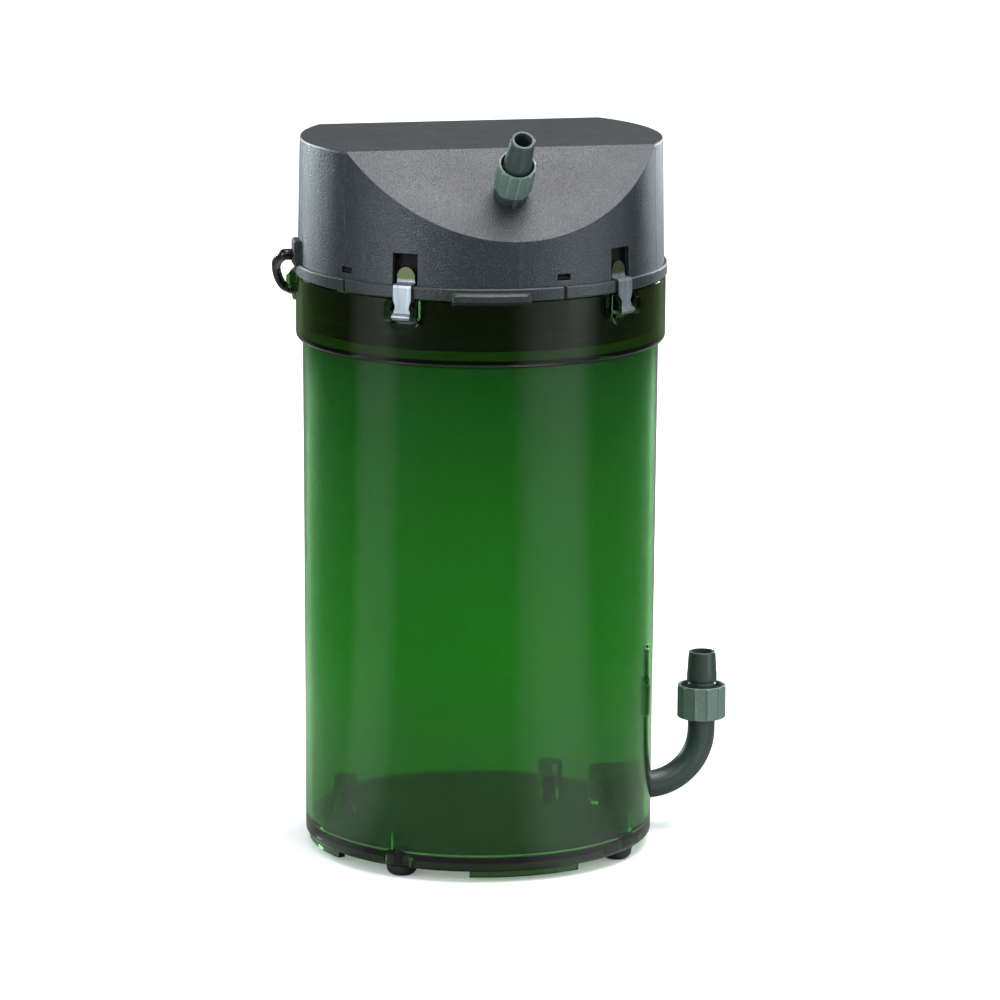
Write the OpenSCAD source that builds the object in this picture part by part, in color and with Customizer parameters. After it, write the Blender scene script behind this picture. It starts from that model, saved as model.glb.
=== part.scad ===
// Canister filter: green see-through canister, clipped pump head, hose nozzles and mains lead.
// Origin: centre of the base on the canister's axis, at the level that the feet stand on. +Z is up,
// -Y is the front with the slanted outlet face, +X is the side with the hose inlet. Millimetres.

/* [Overall size] */
// height from the feet to the top of the head
total_h = 400; // [360:1:440]
// outer diameter of the canister just under its collar
canister_d = 197.2; // [185:0.2:210]
// how far the collar stands out beyond the canister
collar_out = 3.8; // [2.5:0.1:6]
// wall thickness of the canister and of the head cover
wall = 3; // [2.4:0.1:3.6]

/* [Canister] */
// amount that the canister narrows on its radius, from collar to base
draft = 1.5; // [0:0.1:3]
// height of the widened collar
collar_h = 36.9; // [30:0.1:44]
// height of the floor's underside
floor_z = 10; // [9:0.5:14]
// height of the rim round the underside
base_z = 6; // [5:0.5:7]
// distance of a foot's centre in from the edge of the base
foot_in = 9.4; // [9:0.1:18]
// turn of the feet and of the bars between them, from the front
base_turn = 4.2; // [0:0.1:10]
// diameter of a rubber foot
foot_d = 17; // [14:0.5:18]

/* [Pump head] */
// height of the head, from the collar's top edge
head_h = 75.8; // [68:0.1:84]
// distance of the head cover's wall in from the collar's outside
cover_in = 1; // [0.5:0.1:3]
// amount that the head cover narrows on its radius, from flange to top
cover_draft = 1.3; // [0:0.1:2]
// how far the flange under the cover stands out beyond the collar
flange_out = 0.7; // [0.2:0.1:2]
// thickness of the flange
flange_t = 6.8; // [5:0.1:9]
// distance from the axis to the front edge of the flat top
front_chord = 51.6; // [46:0.1:58]
// distance from the axis to the rear edge of the flat top
rear_chord = 58; // [52:0.1:64]
// angle of the slanted faces below the level
facet_a = 41.7; // [36:0.1:48]
// distance down the front face from its top edge to the outlet
outlet_s = 32; // [26:0.5:38]

/* [Clips] */
// width of a clip
clip_w = 10.6; // [9:0.2:12]
// sheet thickness of a clip
clip_t = 0.9; // [0.7:0.1:1.2]

/* [Hose fittings] */
// height of the inlet's axis
inlet_z = 26; // [25:0.5:32]
// distance from the canister's base edge out to the upright inlet nozzle
inlet_out = 32.3; // [30:0.1:40]
// outer diameter of the inlet elbow
inlet_tube_d = 15.5; // [14:0.1:17]
// outer diameter of the inlet nut
inlet_nut_d = 28.4; // [26:0.1:31]
// outer diameter of the outlet nut
outlet_nut_d = 21.4; // [19:0.1:24]

/* [Mains lead] */
// diameter of the lead
cord_d = 5; // [4:0.5:6]

/* [Hidden] */
$fn = 48;                           // above 12 means a true circle in the exact build
slack = 0.3;                        // clearance between loose pieces
run_gap = 0.08;                     // clearance of a shaft or a turning joint
seat_gap = 0.05;                    // clearance of a seated pin or ring

// canister
can_r = canister_d/2;
base_r = can_r - draft;
collar_r = can_r + collar_out;
collar_top = total_h - head_h;
collar_z = collar_top - collar_h;
collar_in_r = collar_r - wall - 0.2;
floor_top = floor_z + wall;
rim_w = 6;                          // rim round the underside
bar_r = base_r - 2.1;               // outer edge of the bars that carry on the rim
bar_w = 4;
bar_z = 2.8;                        // underside of the bars
bar_a = 38.5;                       // angle that a bar spans
foot_r = base_r - foot_in;
foot_angles = [for (i = [0:3]) base_turn + 45 + 90*i];
boss_d = 14;                        // boss that takes a foot's stem
boss_h = 12;
stem_r = 3.1;
socket_r = 13.5;                    // socket inside the wall for the inlet
socket_l = 28;
socket_lip = 4;

// clips and their lugs
clip_places = 5;                    // round the collar; the lead comes out over the last of them
clip_step = 360/clip_places;
lug_angles = [for (i = [0:clip_places - 1]) clip_step*(i - 0.5)];
clip_angles = [for (i = [0:clip_places - 2]) lug_angles[i]];
flange_top = collar_top + flange_t;
flange_r = collar_r + flange_out;
pivot_r = flange_r + 2.1;           // pivot line of a clip
pivot_z = collar_top - 9.7;
clip_pin_r = 1;
barrel_r = 2;
lug_w = 4;
lug_gap = clip_w + 0.8;
plate_in = pivot_r - clip_t;        // inner face of a clip's plate
hook_in = collar_r - cover_in - 2.5;           // inner face of the hook's tab
tab_top = flange_top + 10;

// pump head
head_r = collar_r - cover_in;
plate_z = collar_top - 6.2;         // underside of the plate between the wet and the dry side
plate_t = 3.5;
skirt_z = collar_top - 28.2;
skirt_r = collar_in_r - 1.4;
skirt_w = 4.5;
groove_z = skirt_z + 6;             // groove for the sealing ring
groove_h = 4.6;
groove_r = skirt_r - 1.8;
seal_r = (collar_in_r - groove_r)/2 - seat_gap;
window_w = clip_w + 4.2;
window_h = 17.6;
snap_angles = [for (i = [0:clip_places - 1]) 14 + clip_step*i];
snap_w = 8;
snap_z = flange_top + 4.9;
snap_h = 3.6;
recess_angles = [-65, 40, 130, 205];  // shallow recesses round the skirt, over the ring
recess_a = 17;
recess_z = groove_z + groove_h + 1.2;
recess_h = 7;
pad_a0 = -28;                       // raised pad between the recesses
pad_a = 26;
seam_angles = [-59, 0, 59, 180];    // grooves down the cover
grip_a0 = -20;                      // front grip of the flange, from this angle to the next
grip_a1 = 2;
grip_r = flange_r + 3.1;
pump_y = 10;                        // the pump's axis lies behind the canister's
well_r = 17;
well_w = 2;
well_top = plate_z + 54;
stator_w = 66;
stator_y0 = pump_y - 26;
stator_y1 = pump_y + 54;
stator_z = plate_z + 12;            // underside of the laminations
stator_h = 26;
chamber_r = 33.5;
chamber_w = 4;
chamber_z = plate_z - 18;
shaft_r = 1.5;
bush_h = 6;
rotor_z = plate_z - 0.5;            // underside of the magnet
impeller_r = 28;
riser_y = -58.9;                    // upright part of the outlet duct
duct_r = 8.5;
duct_in = 6.3;
duct_bend = 22;

// outlet nozzle, measured along its own axis from the slanted face
outlet_y = -front_chord - outlet_s*cos(facet_a);
outlet_z = total_h - outlet_s*sin(facet_a);
outlet_base_h = 6;
outlet_nut_h = 18;
outlet_tip_h = 44;

outlet_ring_r = 9.4;
outlet_bore_r = 9.1;                // bore of the outlet nut
duct_top_l = (riser_y - outlet_y - duct_bend*(1 - cos(facet_a)))/sin(facet_a);
duct_bend_z = round(100*(outlet_z - duct_top_l*cos(facet_a) - duct_bend*sin(facet_a)))/100;

// inlet elbow
inlet_bore_r = 12.1;                // bore of the inlet nut
inlet_reach = base_r + inlet_out;
elbow_x0 = base_r - wall + 0.9 - socket_l + socket_lip + slack;
ring_x = [5, 11];                   // grooves for the sealing rings, from the elbow's inner end
ring_w = 1.8;
ring_depth = 1.2;
elbow_r = inlet_tube_d/2;
elbow_in = elbow_r - 1.9;
elbow_bend = 31;
inlet_nut_z = 64.3;
inlet_nut_h = 18.7;
inlet_tip_z = 102.2;

// mains lead: hand-chosen points of its free stretch, from the gland down behind the canister
gland_a = -94;
gland_w = 13;
gland_r = flange_r + 1.5;
gland_top = flange_top + 12.8;
lead_side = -4;                     // place of the lead along the gland
lead_z = flange_top + 3.6;
coil_a = 144;                       // side of the head that the coil of spare lead hangs at
coil_y = flange_r + slack + cord_d/2;   // distance of the coil's first layer from the axis
coil_z = collar_top - 13.2;
coil_r = 38;
coil_pitch = cord_d + 0.8;
coil_layer = cord_d + 0.6;
coil_hold = 0.3;                    // part of a turn in which the lead climbs to the next layer
coil_start = 250;
coil_turns = 8.5556;
coil_run = (coil_turns - 2*coil_hold)/3;
coil_in = coil_r - coil_pitch*coil_run;
plug_y = coil_y + 2*coil_layer + 10.7;
coil_way = unit(coil_point(1/24) - coil_point(0));
coil_end = coil_point(0) - cord_d*coil_way;
lead_points = concat([for (x = [0.05, 1.4, 4.4])
    polar([norm([gland_r + x, lead_side]), gland_a + atan(lead_side/(gland_r + x)), lead_z])],
    [for (p = [[9.2, -100.8, -1.2], [10.3, -104.2, -6], [9.9, -107.6, -12.2], [8.1, -110.8, -18.2],
    [5.6, -115.5, -22], [3.7, -122, -25.8], [3, -130, -29.6], [2.7, -142, -32.6], [2.6, -154, -34.4],
    [2.6, -166, -36.8], [2.4, -174, -39], [2.4, -182, -41.4], [2.6, -190, -44.2],
    [4, -197.5, -48]]) polar([flange_r + p[0], p[1], flange_top + p[2]])],
    [coil_point(0) - 2*cord_d*coil_way]);
lead_route = concat(smooth_route(lead_points, 3), [coil_end]);

// ---- shared shapes ----

// places a shape that is drawn at the front, at an angle round the axis
module at(a) rotate([0, 0, a]) children();

// an upright bar drawn as an outline seen from the right: first number outward, second number up
module radial_plate(w, pts) rotate([90, 0, -90]) linear_extrude(w, center = true) polygon(pts);

// points of an arc, for outlines
function arc(c, r, a0, a1, n = 4) =
    [for (i = [0:n]) c + r*[cos(a0 + (a1 - a0)*i/n), sin(a0 + (a1 - a0)*i/n)]];

// a tube from z0 to z1
module pipe(r_out, r_in, z0, z1) translate([0, 0, z0]) difference() {
    cylinder(r = r_out, h = z1 - z0);
    translate([0, 0, -1]) cylinder(r = r_in, h = z1 - z0 + 2);
}

// outline of a nut with stepped flats
function nut_outline(r, n = 12, step = 0.7) =
    [for (i = [0:n - 1]) for (s = [0, 1]) (r - (s == 0 ? 0 : step))
        *[cos(360*(i + 0.94*s)/n), sin(360*(i + 0.94*s)/n)]];

// a nut that stands on z = 0, with a bevelled rim
module hose_nut(d, h, bore_r) difference() {
    intersection() {
        linear_extrude(h) polygon(nut_outline(d/2));
        rotate_extrude() polygon([[0, 0], [d/2 - 0.9, 0], [d/2 + 0.1, 1], [d/2 + 0.1, h - 1],
            [d/2 - 0.9, h], [0, h]]);
    }
    translate([0, 0, -1]) cylinder(r = bore_r, h = h + 2);
}

// ---- canister ----

// half outline of the canister's wall, floor and collar
function canister_outline() = concat(
    [[0, floor_z], [base_r - rim_w, floor_z], [base_r - rim_w, base_z]],
    arc([base_r - 2.8, base_z + 2.8], 2.8, -90, 0),
    [[can_r, collar_z]],
    arc([collar_r - 3.4, collar_z + 3.4], 3.4, -90, 0),
    [[collar_r, collar_top - 0.8], [collar_r - 0.8, collar_top], [collar_in_r, collar_top],
     [collar_in_r, collar_z + 4], [can_r - wall, collar_z + 0.6]],
    arc([base_r - wall - 4, floor_top + 4], 4, 0, -90),
    [[0, floor_top]]);

// pair of ears that carries a clip's pin, with the half-round web under them
module clip_lug() {
    for (s = [-1, 1]) translate([s*(lug_gap + lug_w)/2, 0, 0])
        radial_plate(lug_w, [[collar_r - 1.5, pivot_z - 6], [pivot_r - 1.5, pivot_z - 3.2],
            [pivot_r + 1.2, pivot_z - 2.7], [pivot_r + 2.2, pivot_z - 1],
            [pivot_r + 2.2, collar_top - 3.4], [pivot_r - 0.8, collar_top - 0.4],
            [collar_r - 1.5, collar_top - 0.4]]);
    intersection() {
        translate([0, -collar_r - 2, pivot_z + 1]) rotate([-90, 0, 0])
            cylinder(r = lug_gap/2 + lug_w, h = 4);
        translate([-20, -collar_r - 4, pivot_z - 20]) cube([40, 8, 16.5]);
    }
}

module canister() color([0.08, 0.40, 0.13, 0.6]) difference() {
    union() {
        rotate_extrude() polygon(canister_outline());
        for (a = lug_angles) at(a) clip_lug();
        for (a = foot_angles) at(a) translate([0, -foot_r, base_z]) {
            cylinder(r = foot_d/2 + 0.4, h = floor_z - base_z + 0.5);
            cylinder(r = boss_d/2, h = floor_top - base_z + boss_h);
        }
        for (a = [0:90:270]) at(base_turn + a - 90 - bar_a/2) rotate_extrude(angle = bar_a)
            translate([bar_r - bar_w, bar_z]) square([bar_w, base_z - bar_z + 1]);
        translate([base_r - wall + 0.9 - socket_l, 0, inlet_z]) rotate([0, 90, 0])
            cylinder(r = socket_r, h = socket_l);
    }
    for (a = foot_angles) at(a) translate([0, -foot_r, base_z - 1])
        cylinder(r = stem_r + seat_gap, h = boss_h + 1);
    for (a = lug_angles) at(a) translate([0, -pivot_r, pivot_z]) rotate([0, 90, 0])
        cylinder(r = clip_pin_r + seat_gap, h = lug_gap + 2*lug_w + 2, center = true);
    translate([base_r - wall + 0.9 - socket_l + socket_lip, 0, inlet_z]) rotate([0, 90, 0])
        cylinder(r = elbow_r + run_gap, h = socket_l + 10);
    translate([base_r - wall - socket_l - 4, 0, inlet_z]) rotate([0, 90, 0])
        cylinder(r = elbow_in, h = 14);
}

// domed rubber feet with the stems that hold them in the bosses
module rubber_feet() color([0.05, 0.05, 0.06]) for (a = foot_angles) at(a) translate([0, -foot_r, 0])
    rotate_extrude() polygon(concat([[0, 0]], arc([foot_d/2 - 4.5, 4.5], 4.5, -90, 0, 4),
        [[foot_d/2, base_z - 0.1], [stem_r, base_z - 0.1], [stem_r, base_z + 10], [0, base_z + 10]]));

module clip_pins() color([0.75, 0.77, 0.78]) for (a = lug_angles) at(a)
    translate([0, -pivot_r, pivot_z]) rotate([0, 90, 0])
        cylinder(r = clip_pin_r, h = lug_gap + 2*lug_w - 0.4, center = true);

// side outline of a clip: plate, fold over the flange and tab inside the cover's window
function clip_side() = [[plate_in, pivot_z], [plate_in, flange_top + slack],
    [hook_in, flange_top + slack], [hook_in, tab_top], [hook_in + clip_t, tab_top],
    [hook_in + clip_t, flange_top + slack + clip_t + 0.8],
    [hook_in + clip_t + 0.8, flange_top + slack + clip_t],
    [pivot_r - 1.4, flange_top + slack + clip_t], [pivot_r - 0.4, flange_top + slack + clip_t - 0.4],
    [pivot_r, flange_top + slack - 0.7], [pivot_r, pivot_z]];

// front outline of a clip: narrow at the barrel, rounded at the tab
module clip_front() {
    w = clip_w/2;
    polygon([[-w, pivot_z - 3], [w, pivot_z - 3], [w, pivot_z + 3], [w - 1.1, pivot_z + 4],
        [w - 1.1, pivot_z + 6], [w, pivot_z + 9], [w, tab_top - 4], [-w, tab_top - 4],
        [-w, pivot_z + 9], [1.1 - w, pivot_z + 6], [1.1 - w, pivot_z + 4], [-w, pivot_z + 3]]);
    translate([0, tab_top - w + 0.2]) circle(r = w - 0.2);
}

module clip(a) color([0.80, 0.83, 0.84]) at(a) {
    difference() {
        union() {
            intersection() {
                radial_plate(clip_w, clip_side());
                rotate([90, 0, 0]) linear_extrude(head_r + 20) clip_front();
            }
            translate([0, -pivot_r, pivot_z]) rotate([0, 90, 0])
                cylinder(r = barrel_r, h = clip_w, center = true);
        }
        translate([0, -pivot_r, pivot_z]) rotate([0, 90, 0])
            cylinder(r = clip_pin_r + run_gap, h = clip_w + 2, center = true);
    }
}

// ---- pump head, lower part ----

// half outline of the flange, the skirt with its ring groove, and the plate
function head_base_outline() =
    [[0, plate_z], [skirt_r - skirt_w, plate_z], [skirt_r - skirt_w, skirt_z], [skirt_r - 0.8, skirt_z],
     [skirt_r, skirt_z + 0.8], [skirt_r, groove_z], [groove_r, groove_z], [groove_r, groove_z + groove_h],
     [skirt_r, groove_z + groove_h], [skirt_r, collar_top], [flange_r - 0.6, collar_top],
     [flange_r, collar_top + 0.6], [flange_r, flange_top - 0.6], [flange_r - 0.6, flange_top],
     [skirt_r - skirt_w - 1, flange_top], [skirt_r - skirt_w - 1, plate_z + plate_t],
     [0, plate_z + plate_t]];

// rounded grip under the front of the flange
module flange_grip() {
    z0 = collar_top - 1.7;
    z1 = flange_top - 2.4;
    at(grip_a0 - 90) rotate_extrude(angle = grip_a1 - grip_a0) polygon([[collar_r + 0.3, z0],
        [grip_r - 1.2, z0], [grip_r, z0 + 1.2], [grip_r, z1 - 1.2], [grip_r - 1.2, z1],
        [collar_r + 0.3, z1]]);
    for (a = [grip_a0, grip_a1]) at(a) translate([0, 1.6 - grip_r, z0])
        cylinder(r = 1.6, h = z1 - z0);
}

// boxed pocket behind a clip's window
module window_pocket() difference() {
    translate([-window_w/2 - 2, -head_r + wall + 1.5, flange_top - 1])
        cube([window_w + 4, 4, window_h + 3.4]);
    translate([-window_w/2 - 0.4, -head_r, flange_top])
        cube([window_w + 0.8, 6, window_h + 0.6]);
}

// springy tongue with a nose that holds the cover at its slot
module snap_tongue() {
    translate([-snap_w/2 + 0.5, wall + 0.6 - head_r, flange_top - 2])
        cube([snap_w - 1, 1.8, snap_z + snap_h/2 + 2.6 - flange_top]);
    radial_plate(snap_w - 0.8, [[head_r - wall - 1.4, snap_z - 1.3], [head_r - 1.4, snap_z - 1.3],
        [head_r - 1.4, snap_z - 0.3], [head_r - wall - 0.4, snap_z + 1.3],
        [head_r - wall - 1.4, snap_z + 1.3]]);
}

module head_base() color([0.22, 0.25, 0.27]) difference() {
    union() {
        rotate_extrude() polygon(head_base_outline());
        flange_grip();
        for (a = clip_angles) at(a) window_pocket();
        at(pad_a0 - 90) rotate_extrude(angle = pad_a) translate([skirt_r - 1, recess_z])
            square([1.8, recess_h]);
        for (a = snap_angles) at(a) snap_tongue();
        translate([0, pump_y, plate_z]) cylinder(r = well_r + well_w, h = well_top - plate_z);
        for (x = [-1, 1]) for (y = [stator_y0 + 6, stator_y1 - 6]) translate([x*(stator_w/2 - 6), y,
            plate_z + 1]) cylinder(r = 4, h = stator_z - plate_z - 1);
    }
    translate([0, pump_y, plate_z - 1]) cylinder(r = well_r, h = well_top - well_w - plate_z + 1);
    translate([0, riser_y, plate_z - 1]) cylinder(r = duct_r + seat_gap, h = 20);
    for (a = snap_angles) at(a) translate([-1.1, -flange_r - 1, collar_top - 1])
        cube([2.2, 2.8, flange_t + 2]);
    for (a = recess_angles) at(a - 90 - recess_a/2) rotate_extrude(angle = recess_a)
        translate([skirt_r - 1.3, recess_z]) square([3, recess_h]);
}

module sealing_ring() color([0.12, 0.12, 0.12]) rotate_extrude()
    translate([(collar_in_r + groove_r)/2, groove_z + groove_h/2]) circle(r = seal_r);

// ---- pump head, cover ----

// space over a slanted face, for a face whose top edge is y_edge in front of the axis
module face_cut(y_edge, depth) translate([0, -y_edge, total_h]) rotate([facet_a, 0, 0])
    translate([-150, -200, -depth]) cube([300, 200, 100]);

// solid of the head's form, set in by d on all faces
module head_form(d, z0) difference() {
    r = head_r - cover_draft - d;
    rotate_extrude() polygon([[0, z0], [head_r - d, z0], [r, total_h - d - 1.4],
        [r - 0.4, total_h - d - 0.4], [r - 1.4, total_h - d], [0, total_h - d]]);
    face_cut(front_chord, d);
    rotate([0, 0, 180]) face_cut(rear_chord, d);
}

module head_cover() color([0.27, 0.31, 0.35]) difference() {
    head_form(0, flange_top);
    head_form(wall, flange_top - 5);
    for (a = clip_angles) at(a) translate([-window_w/2, -head_r - 2, flange_top - 1])
        cube([window_w, wall + 4, window_h + 1]);
    for (a = snap_angles) at(a) translate([-snap_w/2, -head_r - 2, snap_z - snap_h/2])
        cube([snap_w, wall + 3, snap_h]);
    for (a = seam_angles) at(a) radial_plate(0.6, [[head_r - 0.5, flange_top - 1],
        [head_r + 1, flange_top - 1], [head_r + 1, total_h + 1],
        [head_r - cover_draft - 0.5, total_h + 1]]);
    at(gland_a) translate([-gland_w/2 - slack, -head_r - 2, flange_top - 1])
        cube([gland_w + 2*slack, wall + 4, gland_top + slack - flange_top + 1]);
    translate([0, outlet_y, outlet_z]) rotate([facet_a, 0, 0]) translate([0, 0, -8])
        cylinder(r = duct_r + seat_gap, h = 12);
}

// ---- pump ----

// half-open chamber under the plate, with the channel to the riser and a groove for the cover's lugs
module pump_chamber() color([0.16, 0.18, 0.19]) difference() {
    union() {
        translate([0, pump_y, chamber_z]) cylinder(r = chamber_r + chamber_w, h = plate_z - chamber_z);
        translate([-11.5, riser_y - 11.5, chamber_z + 3]) cube([23, 48, plate_z - chamber_z - 3]);
    }
    translate([0, pump_y, chamber_z - 1]) cylinder(r = chamber_r, h = plate_z - chamber_z + 2);
    translate([-9, riser_y - 9, chamber_z + 5.5]) cube([18, 50, plate_z - chamber_z]);
    translate([0, pump_y, chamber_z + 1.4]) cylinder(r = chamber_r + 1.8, h = 2.2);
    for (a = [0, 120, 240]) translate([0, pump_y, chamber_z - 1]) rotate([0, 0, a + 15])
        rotate_extrude(angle = 24) translate([chamber_r - 1, 0]) square([2.8, 3]);
}

// round cover with the intake grille, turned by its lugs in the chamber's groove
module pump_cover() color([0.24, 0.27, 0.29]) translate([0, pump_y, 0]) difference() {
    union() {
        translate([0, 0, chamber_z - 2.6]) cylinder(r = chamber_r + chamber_w, h = 2.4);
        translate([0, 0, chamber_z - 1]) cylinder(r = chamber_r - slack, h = 4.4);
        for (a = [0, 120, 240]) rotate([0, 0, a + 57]) rotate_extrude(angle = 20)
            translate([chamber_r - 2, chamber_z + 1.7]) square([3.4, 1.6]);
        for (a = [0, 90]) rotate([0, 0, a]) translate([-12, -1.2, chamber_z - 5.4]) cube([24, 2.4, 3.4]);
    }
    translate([0, 0, chamber_z]) cylinder(r = chamber_r - 3, h = 10);
    difference() {
        translate([0, 0, chamber_z - 10]) cylinder(r = 12.4, h = 20);
        translate([0, 0, chamber_z - 10]) cylinder(r = 5.4, h = 20);
        for (a = [0, 90]) rotate([0, 0, a]) translate([-14, -1.2, chamber_z - 12]) cube([28, 2.4, 24]);
    }
    translate([0, 0, chamber_z - 1.4]) cylinder(r = 4 + seat_gap, h = 20);
}

// rubber bushes that hold the two ends of the shaft
module bush() pipe(4, shaft_r + run_gap, 0, bush_h);
module cover_bush() color([0.10, 0.10, 0.11]) translate([0, pump_y, chamber_z - 1.35]) bush();
module top_bush() color([0.10, 0.10, 0.11])
    translate([0, pump_y, well_top - well_w - bush_h]) bush();

module rotor_shaft() color([0.93, 0.92, 0.88]) translate([0, pump_y, chamber_z - 1.2])
    cylinder(r = shaft_r, h = well_top - well_w - chamber_z + 1);

module rotor_magnet() color([0.14, 0.14, 0.15]) translate([0, pump_y, 0])
    pipe(well_r - 0.9, shaft_r + 0.6, rotor_z, well_top - well_w - bush_h - 1);

// wheel of straight blades on a disc, with the sleeve that turns on the shaft
module impeller() color([0.85, 0.86, 0.84]) translate([0, pump_y, 0]) difference() {
    union() {
        translate([0, 0, rotor_z - 2]) cylinder(r = impeller_r, h = 1.8);
        for (i = [0:5]) rotate([0, 0, 60*i]) translate([0, -0.9, rotor_z - 11])
            cube([impeller_r, 1.8, 9.5]);
        translate([0, 0, rotor_z - 11]) cylinder(r = 6.5, h = 9.5);
    }
    translate([0, 0, rotor_z - 12]) cylinder(r = shaft_r + run_gap, h = 20);
}

// laminations round the well, with a yoke behind it for the coils
module stator_core() color([0.45, 0.46, 0.47]) translate([0, 0, stator_z]) linear_extrude(stator_h)
    difference() {
        translate([-stator_w/2, stator_y0]) square([stator_w, stator_y1 - stator_y0]);
        translate([0, pump_y]) circle(r = well_r + well_w + slack);
        translate([-stator_w/2 + 15, pump_y + 23]) square([stator_w - 30, 18]);
    }

// windings round the two legs of the yoke
module stator_coils() color([0.62, 0.30, 0.12]) for (s = [-1, 1])
    translate([s*(stator_w/2 - 7.5), pump_y + 23.5, stator_z + stator_h/2]) difference() {
        translate([-13.5, 0, -stator_h/2 - 6]) cube([27, 17, stator_h + 12]);
        translate([-7.8, -1, -stator_h/2 - 0.3]) cube([15.6, 19, stator_h + 0.6]);
    }

// ---- outlet ----

// upright riser, then a bend that ends at the nozzle's spigot
module duct_path(r, over) {
    translate([0, riser_y, plate_z + 0.2 - over]) cylinder(r = r, h = duct_bend_z - plate_z - 0.2 + over);
    translate([0, riser_y - duct_bend, duct_bend_z]) rotate([90, 0, 90])
        rotate_extrude(angle = facet_a) translate([duct_bend, 0]) circle(r = r);
}

module outlet_duct() color([0.18, 0.20, 0.21]) difference() {
    duct_path(duct_r, 0);
    duct_path(duct_in, 1);
}

// places a shape on the slanted face, with +Z along the outlet
module on_outlet() translate([0, outlet_y, outlet_z]) rotate([facet_a, 0, 0]) children();

// spigot, ring, thread collar and tapered hose nozzle, with the locating rib at the front of the ring
module outlet_nozzle() color([0.21, 0.25, 0.25]) on_outlet() difference() {
    union() {
        rotate_extrude() polygon([[0, 0.1 - duct_top_l], [duct_r, 0.1 - duct_top_l], [duct_r, 0.1],
            [outlet_ring_r, 0.1], [outlet_ring_r, 4.4],
            [outlet_ring_r - 0.7, 5.2], [7.7, 5.2], [7.7, 8], [outlet_bore_r - run_gap, 8],
            [outlet_bore_r - run_gap, 17], [7.5, 17.6], [7.5, outlet_tip_h - 18],
            [6.5, outlet_tip_h - 0.5], [6, outlet_tip_h], [0, outlet_tip_h]]);
        translate([-1, -outlet_ring_r - 2.2, 0.1]) cube([2, 4, 4]);
    }
    translate([0, 0, -duct_top_l - 1]) cylinder(r = 4.8, h = outlet_tip_h + duct_top_l + 2);
}

module outlet_nut() color([0.33, 0.39, 0.36]) on_outlet() translate([0, 0, outlet_base_h])
    hose_nut(outlet_nut_d, outlet_nut_h, outlet_bore_r);

// ---- inlet ----

// run through the socket, bend and first upright stretch of the elbow
module elbow_path(r, over) {
    translate([elbow_x0 - over, 0, inlet_z]) rotate([0, 90, 0])
        cylinder(r = r, h = inlet_reach - elbow_bend - elbow_x0 + over);
    translate([inlet_reach - elbow_bend, 0, inlet_z + elbow_bend]) rotate([90, 0, 0])
        rotate([0, 0, -90]) rotate_extrude(angle = 90) translate([elbow_bend, 0]) circle(r = r);
}

// upright end of the elbow: thread collar, neck, groove and flared hose nozzle
module inlet_end() translate([inlet_reach, 0, 0]) rotate_extrude()
    polygon([[elbow_in, inlet_z + elbow_bend], [elbow_r, inlet_z + elbow_bend],
        [elbow_r, inlet_nut_z + 1.5], [inlet_bore_r - run_gap, inlet_nut_z + 2.5],
        [inlet_bore_r - run_gap, inlet_nut_z + 11], [elbow_r + 0.3, inlet_nut_z + 12],
        [elbow_r + 0.3, inlet_tip_z - 18.4], [elbow_r - 0.3, inlet_tip_z - 17.8],
        [elbow_r - 0.3, inlet_tip_z - 16.9], [elbow_r + 0.8, inlet_tip_z - 16.3],
        [elbow_r + 0.8, inlet_tip_z - 14], [elbow_r - 0.1, inlet_tip_z - 0.4],
        [elbow_r - 0.5, inlet_tip_z], [elbow_in, inlet_tip_z]]);

module inlet_elbow() color([0.19, 0.23, 0.24]) difference() {
    union() {
        difference() {
            elbow_path(elbow_r, 0);
            elbow_path(elbow_in, 1);
        }
        inlet_end();
    }
    for (x = ring_x) translate([elbow_x0 + x, 0, inlet_z]) rotate([0, 90, 0])
        pipe(elbow_r + 1, elbow_r - ring_depth, 0, ring_w);
}

module inlet_rings() color([0.08, 0.08, 0.08]) for (x = ring_x)
    translate([elbow_x0 + x + ring_w/2, 0, inlet_z]) rotate([0, 90, 0]) rotate_extrude()
        translate([elbow_r - (ring_depth - run_gap)/2, 0])
            circle(r = (ring_depth + run_gap)/2 - seat_gap);

module inlet_nut() color([0.33, 0.39, 0.36]) translate([inlet_reach, 0, inlet_nut_z])
    hose_nut(inlet_nut_d, inlet_nut_h, inlet_bore_r);

// ---- mains lead ----

// block in the cover's wall that the lead comes out of, with a lip down over the flange
module cord_gland() color([0.20, 0.23, 0.25]) at(gland_a) radial_plate(gland_w,
    [[head_r - wall - 2, flange_top + 0.3], [flange_r + 0.3, flange_top + 0.3],
     [flange_r + 0.3, flange_top - 1.5], [gland_r - 0.5, flange_top - 1.5], [gland_r, flange_top - 1],
     [gland_r, gland_top - 1], [gland_r - 1, gland_top], [head_r - wall - 2, gland_top]]);

function polar(p) = [p[0]*sin(p[1]), -p[0]*cos(p[1]), p[2]];

// place of a point drawn for a coil that hangs straight behind the head
function behind(p) = let (t = coil_a - 180)
    [p[0]*cos(t) - p[1]*sin(t), p[0]*sin(t) + p[1]*cos(t), p[2]];

// point between p1 and p2 on a smooth curve through four points
function blend_point(p0, p1, p2, p3, t) = 0.5*((2*p1) + (p2 - p0)*t
    + (2*p0 - 5*p1 + 4*p2 - p3)*t*t + (3*p1 - p0 - 3*p2 + p3)*t*t*t);

function smooth_route(p, k) = let (n = len(p)) concat(
    [for (i = [0:n - 2]) for (j = [0:k - 1])
        blend_point(p[max(i - 1, 0)], p[i], p[i + 1], p[min(i + 2, n - 1)], j/k)], [p[n - 1]]);

function unit(v) = v/norm(v);
function tangents(p) = let (n = len(p))
    [for (i = [0:n - 1]) unit(p[min(i + 1, n - 1)] - p[max(i - 1, 0)])];

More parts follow.
